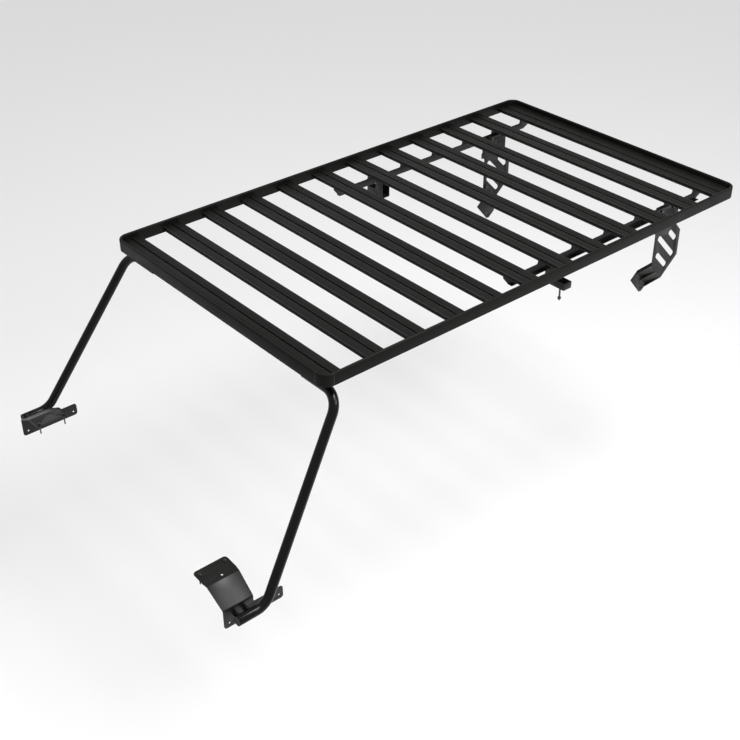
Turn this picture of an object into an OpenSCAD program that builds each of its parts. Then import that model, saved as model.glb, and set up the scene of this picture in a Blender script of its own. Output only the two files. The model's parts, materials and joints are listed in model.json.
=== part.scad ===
// Roof cargo basket: a slatted aluminium tray on two toothed rails, carried by a pair of
// long tube legs at the front, stud brackets in the middle and slotted legs at the rear.
// Millimetres. X runs across the vehicle, Y towards the rear, Z up. The origin lies midway
// between the two roof studs, in the plane of the mid brackets' undersides.

/* [Tray] */
// Overall width of the tray
tray_w = 1394; // [1250:1:1500]
// Overall length of the tray
tray_l = 2364; // [2100:1:2500]
// Height of the rim
rim_h = 52; // [48:0.5:62]
// Thickness of the rim
rim_t = 12.7; // [10:0.1:16]
// Outer radius of the tray corners
corner_r = 50; // [35:1:70]
// Wall of the hollow rim
rim_wall = 2.6; // [2:0.1:3]
// Distance from the front of the tray back to the roof studs
front_to_studs = 1340; // [1300:1:1450]

/* [Slats] */
// Width of a slat
slat_w = 83.5; // [76:0.5:96]
// Height of a slat
slat_h = 18.5; // [18:0.5:22]
// Depth of the slat tops below the top of the rim
slat_drop = 22.9; // [18:0.1:25]
// Space between the front rim and the first slat
first_gap = 11.3; // [4:0.1:20]
// Width of the filler strip behind the last slat
filler_w = 20.9; // [12:0.1:30]
// Wall of the slat extrusion
slat_wall = 2.4; // [2:0.1:2.6]
// Opening of the long slots in a slat
slot_opening = 9; // [8.6:0.1:10]
// Inside width of the long slots
slot_inside = 15; // [14:0.5:20]
// Inside height of the long slots
slot_depth = 5.9; // [5.8:0.05:6]
// Bevel along the upper edges of a slat
slat_bevel = 2; // [1:0.5:3]
// Depth of the groove along each side of a slat
side_groove = 3; // [1:0.5:4]

/* [Foot rails] */
// Distance from the outside of the tray to the middle of a foot rail's web
rail_inset = 157; // [120:1:200]
// Height of a foot rail, from its flange to the slats
rail_h = 55.6; // [50:0.1:70]
// Depth of the notches between the teeth
notch_depth = 22; // [15:0.5:28]
// Sheet thickness of a foot rail
rail_t = 3; // [2.5:0.5:4]
// Width of a foot rail's bottom flange beyond its web
rail_flange = 18; // [10:0.5:22]
// Amount by which a tooth stays back from each edge of its slat
tooth_inset = 10; // [6:0.5:14]

/* [Front legs] */
// Outside diameter of the leg tube
tube_d = 38; // [32:0.5:42]
// Wall of the leg tube
tube_wall = 2.5; // [2:0.1:3]
// Centreline radius of the tube bends
tube_bend_r = 80; // [70:1:90]
// Height between the upper and lower corners of the leg
leg_drop = 657; // [560:1:820]
// Distance that the leg reaches forward
leg_reach = 435; // [380:1:540]
// Distance that the leg leans outwards
leg_splay = 103; // [80:1:130]
// Length of the lower tube run, measured from its corner
foot_run = 124; // [110:1:150]
// Length of the upper tube run, measured from its corner
top_run = 194; // [184:1:240]

/* [Front feet] */
// Sheet thickness of the feet
foot_t = 3; // [2.5:0.5:4]
// Space between the tube and the foot plate
foot_standoff = 25.2; // [18:0.1:30]
// Length of the foot's upright plate
foot_l = 260; // [230:1:290]
// Height of the foot's upright plate below the ramp
foot_h = 86; // [80:1:94]
// Width of the ramp where it leaves the plate
ramp_w_low = 130; // [120:1:140]
// Width of the ramp where it meets the pad
ramp_w_high = 140; // [134:1:156]
// Horizontal length of the ramp
ramp_run = 92; // [80:1:104]
// Rise of the ramp from the plate to the pad
ramp_rise = 51; // [40:1:58]
// Horizontal length of the pad
pad_run = 88; // [76:1:100]
// Rise of the pad along its length
pad_rise = 7; // [0:0.5:14]
// Distance between the bolt holes at the ends of the plate
foot_hole_span = 218; // [200:1:236]

/* [Mid brackets] */
// Height of a mid bracket
mid_h = 83; // [70:1:100]
// Width of a mid bracket
mid_w = 46; // [42:1:54]
// Distance from the rail's web out to the end of the bracket
mid_reach = 88; // [76:1:100]
// Height of the bracket's outer walls
mid_wall_h = 30; // [20:1:36]
// Length of the stud below the bracket
stud_l = 68; // [56:1:80]

/* [Rear legs] */
// Sheet thickness of the rear legs
leg_t = 4; // [3:0.5:5]
// Length of a rear leg's upper plate
rear_leg_l = 178; // [174:1:194]
// Slope of the slots
slot_angle = 46.5; // [44:0.5:50]
// Slope of the folds
fold_angle = 50; // [46:1:53]
// Width of the slots
leg_slot_w = 25; // [18:0.5:27]
// Distance that the lower lip steps inwards
lip_step = 44; // [36:1:52]
// Height of the lower lip
lip_h = 58; // [44:1:64]

/* [Hidden] */
$fn = 48;

BLACK = [0.13, 0.13, 0.13];
STEEL = [0.3, 0.3, 0.3];
RUBBER = [0.08, 0.08, 0.08];

fit = 0.2;              // side clearance of pieces that slide together
seat = 0.1;             // gap left under a head or a nut
slat_count = 12;
first_rail_slat = 5;    // index of the first slat that rests on the foot rails
weld_gap = 0.15;        // space between a tube and what is welded to it

// Heights
rail_z = mid_h;                          // underside of the foot rails
slat_z = rail_z + rail_h;                // underside of the slats
slat_top = slat_z + slat_h;
rim_top = slat_top + slat_drop;
rim_z = rim_top - rim_h;

// Plan
half_w = tray_w / 2;
front_y = -front_to_studs;
rear_y = front_y + tray_l;
inner_x = half_w - rim_t;
strip_gap = 0.4;                         // seam in front of the filler strip
slat_span = tray_l - 2 * rim_t - first_gap - filler_w - strip_gap - fit - slat_w;
slat_pitch = slat_span / (slat_count - 1);
function slat_y(i) = front_y + rim_t + first_gap + i * slat_pitch;
function slat_mid(i) = slat_y(i) + slat_w / 2;
slat_l = 2 * (inner_x - fit);
rail_slats = [first_rail_slat : slat_count - 1];

rail_x = half_w - rail_inset;
rail_face_x = rail_x + rail_t / 2;       // outboard face of the web

// Fastener sizes
m8_r = 4;
m8_hole_r = 4.3;
m8_head_h = 5.3;
m8_across = 13;
m6_r = 3;
m6_hole_r = 3.3;
m6_across = 10;
m6_head_h = 4;
washer_t = 1.6;

// ---------- helpers ----------

// The part's left side mirrors its right side
module on_side(side) {
    mirror([side < 0 ? 1 : 0, 0, 0]) children();
}

module both_sides() {
    for (side = [-1, 1]) on_side(side) children();
}

// Outline in Y and Z, given its thickness along X from x
module yz_plate(x, t) {
    translate([x, 0, 0]) rotate([90, 0, 90]) linear_extrude(t) children();
}

// Outline in X and Z, given its length along Y from y
module xz_plate(y, l) {
    translate([0, y + l, 0]) rotate([90, 0, 0]) linear_extrude(l) children();
}

module hexagon(across, h) {
    cylinder(h = h, r = across / 2 / cos(30), $fn = 6);
}

// Hexagon head bolt along +Z, with the underside of its head at 0 and the shank below
module hex_bolt(r, across, head_h, l) {
    union() {
        translate([0, 0, -l]) cylinder(h = l + head_h / 2, r = r);
        hexagon(across, head_h);
    }
}

module nut(r, across, h) {
    difference() {
        hexagon(across, h);
        translate([0, 0, -1]) cylinder(h = h + 2, r = r + 0.05);
    }
}

module washer(r, h = washer_t) {
    difference() {
        cylinder(h = h, r = 2 * r);
        translate([0, 0, -1]) cylinder(h = h + 2, r = r + 0.2);
    }
}

module slot2d(a, b, w) {
    d = b - a;
    translate(a) rotate(atan2(d[1], d[0])) union() {
        translate([0, -w / 2]) square([norm(d), w]);
        circle(d = w);
        translate([norm(d), 0]) circle(d = w);
    }
}

// Rectangle with rounded corners, standing on its lower left corner
module round_rect(size, r) {
    translate([r, 0]) square([size[0] - 2 * r, size[1]]);
    translate([0, r]) square([size[0], size[1] - 2 * r]);
    for (x = [r, size[0] - r], y = [r, size[1] - r]) translate([x, y]) circle(r = r);
}

// ---------- tray ----------

// Section of the rim: outer face at 0, thickness towards +X, round along the top
module rim_outline(inset = 0) {
    r = rim_t / 2 - inset;
    translate([inset, inset]) square([2 * r, rim_h - rim_t / 2 - inset]);
    translate([rim_t / 2, rim_h - rim_t / 2]) circle(r = r);
}

module rim_section() {
    difference() {
        rim_outline();
        rim_outline(rim_wall);
    }
}

// Straight rim along +X, outer face at Y = 0, inside towards +Y
module straight_rim(l) {
    translate([-l / 2, 0, rim_z]) rotate([90, 0, 90]) linear_extrude(l) rim_section();
}

spigot_l = 30;           // length of each tongue that joins a corner to a rim
spigot_h = rim_h - rim_t - 2 * rim_wall;

module end_rim() {
    straight_rim(tray_w - 2 * corner_r);
}

module front_rim() {
    color(BLACK) translate([0, front_y, 0]) end_rim();
}

module rear_rim() {
    color(BLACK) translate([0, rear_y, 0]) mirror([0, 1, 0]) end_rim();
}

module side_rim(side) {
    color(BLACK) on_side(side) translate([half_w, front_y + tray_l / 2, 0]) rotate(90)
        straight_rim(tray_l - 2 * corner_r);
}

// One tongue, along +X from the end of a corner
module spigot() {
    side = rim_t - 2 * rim_wall - 2 * fit;
    translate([-1, rim_wall + fit, rim_z + rim_t / 2]) cube([spigot_l + 1, side, spigot_h]);
}

// Cast corner for the front right; the others are its mirror images
module corner_piece() {
    union() {
        rotate([0, 0, -90]) rotate_extrude(angle = 90) translate([corner_r, rim_z])
            mirror([1, 0]) rim_outline();
        translate([0, -corner_r, 0]) mirror([1, 0, 0]) spigot();
        translate([corner_r, 0, 0]) rotate(90) spigot();
    }
}

module corner(side, end) {
    color(BLACK) on_side(side) translate([half_w - corner_r, front_y + tray_l / 2, 0])
        mirror([0, end, 0]) translate([0, corner_r - tray_l / 2, 0]) corner_piece();
}

// ---------- slats ----------

module slat_slot(z_open) {
    translate([-slot_opening / 2, z_open]) square([slot_opening, slat_wall + 0.02]);
}

module slat_section() {
    cell_w = (slat_w - slot_inside) / 2 - 2 * slat_wall - side_groove;
    b = slat_bevel;
    difference() {
        polygon([
            [-slat_w / 2, 0], [slat_w / 2, 0],
            [slat_w / 2, slat_h - b], [slat_w / 2 - b, slat_h],
            [b - slat_w / 2, slat_h], [-slat_w / 2, slat_h - b]
        ]);
        for (s = [-1, 1]) translate([s * (slot_inside / 2 + slat_wall + cell_w / 2), slat_h / 2])
            square([cell_w, slat_h - 2 * slat_wall], center = true);
        for (s = [-1, 1]) translate([s * slat_w / 2, slat_h / 2 - 0.5])
            square([2 * side_groove, slat_h / 2], center = true);
        translate([-slot_inside / 2, slat_wall]) square([slot_inside, slot_depth]);
        translate([-slot_inside / 2, slat_h - slat_wall - slot_depth])
            square([slot_inside, slot_depth]);
        translate([-slot_opening / 2, -0.01]) square([slot_opening, slat_wall + 0.02]);
        translate([-slot_opening / 2, slat_h - slat_wall - 0.01])
            square([slot_opening, slat_wall + 0.02]);
    }
}

module plain_slat(i) {
    translate([-slat_l / 2, slat_mid(i), slat_z]) rotate([90, 0, 90])
        linear_extrude(slat_l) slat_section();
}

// Everything inside the tray, with its round corners
module tray_inside() {
    gap = rim_t + fit;
    translate([-half_w + gap, front_y + gap, rim_z - 1]) linear_extrude(rim_h + 2)
        round_rect([tray_w - 2 * gap, tray_l - 2 * gap], corner_r - gap);
}

// The first and last slats are trimmed to the round corners
module slat(i) {
    color(BLACK) if (i == 0 || i == slat_count - 1) intersection() {
        plain_slat(i);
        tray_inside();
    } else plain_slat(i);
}

// Angle strip that closes the space between the last slat and the rear rim
strip_t = 2.5;

module rear_filler_strip() {
    leg_h = slat_top - rim_z;
    y = rear_y - rim_t - fit;
    color(BLACK) difference() {
        intersection() {
            union() {
                translate([-slat_l / 2, y - filler_w, slat_top - strip_t])
                    cube([slat_l, filler_w, strip_t]);
                translate([-slat_l / 2, y - strip_t, rim_z]) cube([slat_l, strip_t, leg_h]);
            }
            tray_inside();
        }
        filler_rivet_places() cylinder(h = 30, r = m6_hole_r, center = true);
    }
}

filler_rivet_count = 5;

// Rivets point towards -Y, with their flanges on the strip
module filler_rivet_places() {
    step = tray_w / (filler_rivet_count + 1);
    z = rim_z + (slat_z - rim_z) / 2 + 4;
    for (i = [1 : filler_rivet_count])
        translate([i * step - half_w, rear_y - rim_t - fit - strip_t, z]) rotate([90, 0, 0])
            children();
}

module filler_rivets() {
    color(STEEL) filler_rivet_places() union() {
        translate([0, 0, seat]) cylinder(h = 2, r = 5.5);
        translate([0, 0, -strip_t]) cylinder(h = strip_t + 1, r = m6_r);
    }
}

// Angle under each slat end: one leg on the rim, one leg under the slat
clip_w = 34;
clip_l = 32;
clip_t = 2.5;
clip_bolt_x = inner_x - 20;
clip_leg_h = slat_z - rim_z - 0.5;

module clip_places() {
    both_sides() for (i = [0 : slat_count - 1]) translate([0, slat_mid(i), 0]) children();
}

module slat_end_clips() {
    color(BLACK) clip_places() difference() {
        union() {
            translate([inner_x - fit - clip_l, -clip_w / 2, slat_z - clip_t])
                cube([clip_l, clip_w, clip_t]);
            translate([inner_x - fit - clip_t, -clip_w / 2, slat_z - clip_leg_h])
                cube([clip_t, clip_w, clip_leg_h]);
        }
        translate([clip_bolt_x, 0, slat_z]) cylinder(h = 30, r = m6_hole_r, center = true);
    }
}

// Bolt whose head slides in the slat's lower slot, with a nut modelled on the same shank
module slat_end_bolts() {
    color(STEEL) clip_places() translate([clip_bolt_x, 0, slat_z]) union() {
        translate([0, 0, slat_wall + seat]) hexagon(m6_across, m6_head_h);
        translate([0, 0, -clip_t - 7]) cylinder(h = slat_wall + clip_t + 8, r = m6_r);
        translate([0, 0, -clip_t - seat - 5]) hexagon(m6_across, 5);
    }
}

// ---------- foot rails ----------

mid_bracket_y = 0;
rear_slat = 10;                               // slat above the rear leg
rear_leg_y = slat_y(rear_slat) - 26;          // front edge of the rear leg
rear_leg_top = slat_z - notch_depth - 3;      // upper edge of the rear leg
leg_tab = 18;                                 // how far the leg's head reaches forward
rail_front = slat_y(first_rail_slat) + tooth_inset;
rail_rear = slat_y(slat_count - 1) + slat_w;
rail_nose = 32;                               // run of the sloping front end
rail_tail = 46;                               // run of the sloping rear end
notch_r = 8;

module rail_outline() {
    floor_z = slat_z - notch_depth;
    difference() {
        polygon([
            [rail_front, slat_z], [rail_front, floor_z + 6],
            [rail_front + rail_nose, rail_z],
            [rail_rear - rail_tail, rail_z],
            [rail_rear - 10, rail_z + 18], [rail_rear, floor_z], [rail_rear, slat_z]
        ]);
        for (i = [first_rail_slat : slat_count - 2]) {
            y0 = slat_y(i) + slat_w - tooth_inset;
            y1 = slat_y(i + 1) + tooth_inset;
            translate([y0, floor_z]) union() {
                translate([0, notch_r]) square([y1 - y0, notch_depth]);
                translate([notch_r, 0]) square([y1 - y0 - 2 * notch_r, notch_depth]);
                for (y = [notch_r, y1 - y0 - notch_r]) translate([y, notch_r]) circle(r = notch_r);
            }
        }
    }
}

rail_tab_w = 40;
rail_tab_l = 24;
rail_bolt_x = rail_x - rail_t / 2 - 13;

module rail_tab() {
    translate([rail_x - rail_t / 2 - rail_tab_l, -rail_tab_w / 2, slat_z - rail_t])
        cube([rail_tab_l + rail_t / 2, rail_tab_w, rail_t]);
}

module rail_flange_piece(y0, y1) {
    translate([rail_x - rail_t / 2, y0, rail_z]) cube([rail_t + rail_flange, y1 - y0, rail_t]);
}

module foot_rail(side) {
    cut_front = rear_leg_y - leg_tab - 4;
    cut_rear = rear_leg_y + rear_leg_l + 4;
    color(BLACK) on_side(side) difference() {
        union() {
            yz_plate(rail_x - rail_t / 2, rail_t) rail_outline();
            for (i = rail_slats) translate([0, slat_mid(i), 0]) rail_tab();
            rail_flange_piece(rail_front + rail_nose, cut_front);
            rail_flange_piece(cut_rear, rail_rear - rail_tail);
        }
        rail_bolt_places() cylinder(h = 30, r = m8_hole_r, center = true);
        mid_bolt_places() cylinder(h = 30, r = m6_hole_r, center = true);
        rear_bolt_places() cylinder(h = 60, r = m8_hole_r, center = true);
    }
}

module rail_bolt_places() {
    for (i = rail_slats) translate([rail_bolt_x, slat_mid(i), slat_z]) children();
}

// T-bolt: square-sided head in the slat's lower slot, shank down through the tab
module t_bolt(l) {
    union() {
        translate([0, 0, slat_wall + seat]) hexagon(m8_across, m8_head_h);
        translate([0, 0, -l]) cylinder(h = l + slat_wall + 1, r = m8_r);
    }
}

nut_h = 6.5;

module rail_t_bolts() {
    color(STEEL) both_sides() rail_bolt_places() t_bolt(rail_t + washer_t + nut_h + 3);
}

module rail_washers() {
    color(STEEL) both_sides() rail_bolt_places()
        translate([0, 0, -rail_t - seat - washer_t]) washer(m8_r);
}

module rail_nuts() {
    color(STEEL) both_sides() rail_bolt_places()
        translate([0, 0, -rail_t - 2 * seat - washer_t - nut_h]) nut(m8_r, m8_across, nut_h);
}

// ---------- front legs ----------

tube_r = tube_d / 2;
tube_gap = 29;                                 // space between the tube and the rim
top_corner = [half_w + 4, slat_mid(0) - 2, rim_z - tube_gap - tube_r];
low_corner = top_corner + [leg_splay, -leg_reach, -leg_drop];
leg_dir = (low_corner - top_corner) / norm(low_corner - top_corner);
INBOARD = [-1, 0, 0];
FORWARD = [0, -1, 0];

function unit(v) = v / norm(v);
function turn(a, b) = acos(a * b);
function bend_len(a, b) = tube_bend_r * tan(turn(a, b) / 2);

// Rod of radius r from p along the unit vector d
module rod(p, d, l, r) {
    x = unit(cross(abs(d[2]) > 0.9 ? [1, 0, 0] : [0, 0, 1], d));
    y = cross(d, x);
    multmatrix([
        [x[0], y[0], d[0], p[0]],
        [x[1], y[1], d[1], p[1]],
        [x[2], y[2], d[2], p[2]],
        [0, 0, 0, 1]
    ]) cylinder(h = l, r = r);
}

// Bent rod around corner c, arriving along a and leaving along b
module rod_bend(c, a, b, r) {
    n = unit(cross(a, b));                     // axis of the bend
    start = c - bend_len(a, b) * a;
    side = unit(cross(n, a));                  // from the rod towards the bend's centre
    centre = start + tube_bend_r * side;
    x = -side;
    y = a;
    multmatrix([
        [x[0], y[0], n[0], centre[0]],
        [x[1], y[1], n[1], centre[1]],
        [x[2], y[2], n[2], centre[2]],
        [0, 0, 0, 1]
    ]) rotate_extrude(angle = turn(a, b)) translate([tube_bend_r, 0]) circle(r = r);
}

bend_thinning = 0.05;    // bending draws the tube in by this much
lap = 0.3;               // straight runs reach this far into the bends

// The whole run of a leg with radius r; past is added at both open ends
module leg_path(r, past) {
    top_bend = bend_len(-INBOARD, leg_dir);
    low_bend = bend_len(leg_dir, FORWARD);
    leg_l = norm(low_corner - top_corner) - top_bend - low_bend;
    union() {
        rod(top_corner + (top_run + past) * INBOARD, -INBOARD, top_run + past - top_bend + lap, r);
        rod_bend(top_corner, -INBOARD, leg_dir, r - bend_thinning);
        rod(top_corner + (top_bend - lap) * leg_dir, leg_dir, leg_l + 2 * lap, r);
        rod_bend(low_corner, leg_dir, FORWARD, r - bend_thinning);
        rod(low_corner + (low_bend - lap) * FORWARD, FORWARD, foot_run + past - low_bend + lap, r);
    }
}

module front_leg(side) {
    color(BLACK) on_side(side) difference() {
        leg_path(tube_r, 0);
        leg_path(tube_r - tube_wall, 1);
    }
}

// Caps pressed into the four open tube ends
module tube_cap() {
    union() {
        translate([0, 0, seat]) cylinder(h = 2.5, r = tube_r - 0.6);
        translate([0, 0, -10]) cylinder(h = 11, r = tube_r - tube_wall - fit);
    }
}

module front_leg_caps() {
    color(RUBBER) both_sides() {
        translate(low_corner + foot_run * FORWARD) rotate([90, 0, 0]) tube_cap();
        translate(top_corner + top_run * INBOARD) rotate([0, -90, 0]) tube_cap();
    }
}

// Saddle welded on the upper run, bolted up into the first slat
saddle_l = 70;
saddle_w = 74;
saddle_plate_t = 5;
saddle_x = top_corner[0] - top_run + 50;
saddle_bolt_span = 30;

module saddle_bolt_places() {
    for (dx = [-1, 1]) translate([saddle_x + dx * saddle_bolt_span / 2, slat_mid(0), slat_z])
        children();
}

module leg_saddle(side) {
    plate_y = slat_mid(0) - saddle_w / 2 + 8;
    web_t = 8;
    color(BLACK) on_side(side) difference() {
        union() {
            translate([saddle_x - saddle_l / 2, plate_y, slat_z - saddle_plate_t])
                cube([saddle_l, saddle_w, saddle_plate_t]);
            for (dx = [-1, 1]) translate([
                saddle_x + dx * (saddle_l / 2 - web_t / 2) - web_t / 2,
                top_corner[1] - tube_r, top_corner[2]
            ]) cube([web_t, 2 * tube_r, slat_z - saddle_plate_t / 2 - top_corner[2]]);
        }
        translate([saddle_x, top_corner[1], top_corner[2]]) rotate([0, 90, 0])
            cylinder(h = 2 * saddle_l, r = tube_r + weld_gap, center = true);
        saddle_bolt_places() cylinder(h = 30, r = m8_hole_r, center = true);
    }
}

module saddle_t_bolts() {
    color(STEEL) both_sides() saddle_bolt_places() t_bolt(saddle_plate_t + nut_h + 1.5);
}

module saddle_nuts() {
    color(STEEL) both_sides() saddle_bolt_places()
        translate([0, 0, -saddle_plate_t - seat - nut_h]) nut(m8_r, m8_across, nut_h);
}

// ---------- bent sheet ----------

function left(v) = [-v[1], v[0]];
function reversed(p) = [for (i = [len(p) - 1 : -1 : 0]) p[i]];

// Points of the arc that rounds the corner b between a and c
function arc_points(a, b, c, r, n = 5) =
    let (
        u = unit(b - a),
        v = unit(c - b),
        s = sign(u[0] * v[1] - u[1] * v[0]),
        th = acos(u * v),
        start = b - r * tan(th / 2) * u,
        centre = start + s * r * left(u),
        a0 = atan2(start[1] - centre[1], start[0] - centre[0])
    )
    [for (k = [0 : n]) centre + r * [cos(a0 + s * th * k / n), sin(a0 + s * th * k / n)]];

function bent_line(p, r) = concat(
    [p[0]],
    [for (i = [1 : len(p) - 2]) each arc_points(p[i - 1], p[i], p[i + 1], r)],
    [p[len(p) - 1]]
);

function shifted(p, d) = [
    for (i = [0 : len(p) - 1])
        let (
            n1 = left(unit(i > 0 ? p[i] - p[i - 1] : p[1] - p[0])),
            n2 = i < len(p) - 1 ? left(unit(p[i + 1] - p[i])) : n1,
            m = unit(n1 + n2)
        )
        p[i] + d * m / (m * n1)
];

// Edge view of a sheet that follows the line p with bends of centreline radius r
module bent_sheet(p, t, r) {
    q = bent_line(p, r);
    polygon(concat(shifted(q, t / 2), reversed(shifted(q, -t / 2))));
}

// ---------- front feet ----------

foot_x = low_corner[0] - tube_r - foot_standoff - foot_t / 2;   // middle of the upright plate
foot_front = low_corner[1] - foot_run - 28;
foot_z = low_corner[2] - 57;                                    // bottom of the upright plate
fold_z = foot_z + foot_h;
ear_h = 56;
ear_r = 12;
foot_hole_z = foot_z + 19;
foot_hole_y = foot_front + foot_l / 2 + 3;
foot_bend_r = 7;
pad_x = foot_x - ramp_run;                                      // where the ramp meets the pad
pad_z = fold_z + ramp_rise;
pad_bolt_dx = 20;                                               // bolt holes from the pad's edge
pad_bolt_span = 111;
pad_shift = 4;                                                  // pad's middle, rearwards of the ramp's foot

module foot_plate_outline() {
    // front part that carries the ramp, then the lower ear behind it
    translate([foot_front, foot_z]) union() {
        round_rect([foot_l, ear_h], ear_r);
        translate([0, ear_r]) square([ramp_w_low, foot_h - ear_r - foot_bend_r]);
    }
    // fillet between the front part and the ear
    difference() {
        translate([foot_front + ramp_w_low - 0.1, foot_z + ear_h - 0.1]) square(10.1);
        translate([foot_front + ramp_w_low + 10, foot_z + ear_h + 10]) circle(r = 10);
    }
}

// Plan of the ramp and pad, with the front edge running outwards
module foot_plan() {
    y0 = foot_front;
    y1 = y0 + pad_shift - (ramp_w_high - ramp_w_low) / 2;
    y2 = y1 + ramp_w_high;
    w = ramp_w_high + 5;
    r = 14;
    polygon([
        [foot_x + foot_t, y0], [pad_x, y1],
        [pad_x - pad_run / 3, y1 - 2.5], [pad_x - pad_run / 3, y2 + 2.5],
        [pad_x, y2], [foot_x + foot_t, y0 + ramp_w_low]
    ]);
    translate([pad_x - pad_run, y1 - 2.5]) round_rect([pad_run * 0.7, w], r);
    translate([pad_x - pad_run * 0.5, y1 - 2.5]) square([pad_run * 0.3, w]);
}

module pad_bolt_places() {
    x = pad_x - pad_run + pad_bolt_dx;
    z = pad_z + pad_rise * (pad_run - pad_bolt_dx) / pad_run + foot_t / 2;
    tilt = atan(pad_rise / pad_run);
    y_mid = foot_front + ramp_w_low / 2 + pad_shift;
    for (s = [-1, 1]) translate([x + 4 * (1 - s) / 2, y_mid + s * pad_bolt_span / 2, z])
        rotate([0, tilt, 0]) children();
}

pad_hole_in = 18;        // empty hole in the pad, from where the ramp ends

// Axis of the empty hole, square to the pad
module pad_hole_place() {
    z = pad_z + pad_rise * pad_hole_in / pad_run;
    translate([pad_x - pad_hole_in, foot_front + ramp_w_low / 2 + pad_shift + 8, z])
        rotate([0, atan(pad_rise / pad_run), 0]) children();
}

module front_foot(side) {
    color(BLACK) on_side(side) difference() {
        union() {
            yz_plate(foot_x - foot_t / 2, foot_t) foot_plate_outline();
            intersection() {
                xz_plate(foot_front - 20, ramp_w_high + 40) bent_sheet([
                    [foot_x, fold_z - 20], [foot_x, fold_z], [pad_x, pad_z],
                    [pad_x - pad_run, pad_z + pad_rise]
                ], foot_t, foot_bend_r);
                translate([0, 0, foot_z]) linear_extrude(400) foot_plan();
            }
        }
        for (s = [-1, 1]) translate([
            foot_x, foot_hole_y + s * foot_hole_span / 2, foot_hole_z
        ]) rotate([0, 90, 0]) cylinder(h = 30, r = m8_hole_r, center = true);
        pad_bolt_places() cylinder(h = 40, r = m6_hole_r, center = true);
        pad_hole_place() cylinder(h = 40, r = 4.5, center = true);
    }
}

// Two upright webs that hold each tube off its foot plate
gusset_t = 6;
gusset_h = 34;

module front_foot_gussets() {
    x0 = foot_x + foot_t / 2 + weld_gap;
    color(BLACK) both_sides() for (k = [0, 1]) {
        y = low_corner[1] - foot_run + 14 + k * 42;
        difference() {
            translate([x0, y, low_corner[2] - gusset_h / 2])
                cube([low_corner[0] - x0 - 4, gusset_t, gusset_h]);
            translate([low_corner[0], y, low_corner[2]]) rotate([90, 0, 0])
                cylinder(h = 4 * gusset_t, r = tube_r + weld_gap, center = true);
        }
    }
}

module front_foot_washers() {
    color(STEEL) both_sides() pad_bolt_places() translate([0, 0, seat]) washer(m6_r);
}

module front_foot_bolts() {
    color(STEEL) both_sides() pad_bolt_places() translate([0, 0, washer_t + 2 * seat])
        hex_bolt(m6_r, m6_across, m6_head_h, 48);
}

// ---------- mid brackets ----------

mid_t = 3;
mid_inner = rail_x - 20;                 // inboard edge of the bracket
mid_head = rail_x + 27;                  // outboard edge of its tall part
mid_outer = rail_x + mid_reach;
stud_x = mid_outer - 39;
mid_bolt_x = rail_face_x + 6.5;
mid_bolt_span = 24;

module mid_cheek_outline() {
    top = rail_z - seat;
    union() {
        translate([mid_inner, 0]) square([mid_head - mid_inner, top]);
        translate([mid_inner, 0]) square([mid_outer - mid_inner, mid_wall_h]);
        polygon([
            [mid_head - 1, mid_wall_h - 1], [mid_head + 12, mid_wall_h - 1],
            [mid_head + 12, mid_wall_h], [mid_head, mid_wall_h + 14], [mid_head - 1, mid_wall_h + 14]
        ]);
    }
}

module mid_bracket(side) {
    color(BLACK) on_side(side) difference() {
        xz_plate(mid_bracket_y - mid_w / 2, mid_w) mid_cheek_outline();
        // hollow between the cheeks
        difference() {
            translate([mid_inner - 1, mid_bracket_y - mid_w / 2 + mid_t, mid_t])
                cube([mid_outer - mid_inner + 1 - mid_t, mid_w - 2 * mid_t, mid_h]);
            translate([mid_inner - 2, mid_bracket_y - mid_w, rail_z - seat - mid_t])
                cube([mid_head - mid_inner + 2, 2 * mid_w, 3 * mid_t]);
        }
        translate([stud_x, mid_bracket_y, 0]) cylinder(h = 30, r = m8_hole_r, center = true);
        mid_bolt_places() cylinder(h = 30, r = m6_hole_r, center = true);
    }
}

module mid_bolt_places() {
    for (s = [-1, 1]) translate([mid_bolt_x, mid_bracket_y + s * mid_bolt_span / 2, rail_z])
        children();
}

module mid_bracket_bolts() {
    color(STEEL) both_sides() mid_bolt_places() translate([0, 0, rail_t + seat])
        hex_bolt(m6_r, m6_across, m6_head_h, rail_t + mid_t + 8);
}

module mid_bracket_nuts() {
    color(STEEL) both_sides() mid_bolt_places() translate([0, 0, -mid_t - 2 * seat - 5])
        nut(m6_r, m6_across, 5);
}

module stud_places() {
    translate([stud_x, mid_bracket_y, 0]) children();
}

stud_nut_z = -stud_l + 12;

module roof_studs() {
    color(STEEL) both_sides() stud_places() translate([0, 0, mid_t + seat])
        hex_bolt(m8_r, m8_across, m8_head_h, stud_l + mid_t + seat);
}

module stud_washers() {
    color(STEEL) both_sides() stud_places() translate([0, 0, stud_nut_z + seat]) washer(m8_r);
}

module stud_nuts() {
    color(STEEL) both_sides() stud_places() translate([0, 0, stud_nut_z - nut_h])
        nut(m8_r, m8_across, nut_h);
}

// ---------- rear legs ----------

leg_gap = 0.1;
leg_x = rail_face_x + leg_gap + leg_t / 2;      // middle of the upper plate
fold_start = [rear_leg_y, -165];                // upper front end of the first fold
fold_l = 121;
slot_dir = [cos(slot_angle), -sin(slot_angle)];
fold_dir = [cos(fold_angle), -sin(fold_angle)];
fold_end = fold_start + fold_l * fold_dir;
shelf_run = 50;
leg_bend_r = 8;
leg_top_l = rear_leg_l - 36;                    // length of the plate's upper edge

function leg_point(dy, z) = [rear_leg_y + dy, z];

module rear_leg_slot(start, l) {
    slot2d(start, start + l * slot_dir, leg_slot_w);
}

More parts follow.
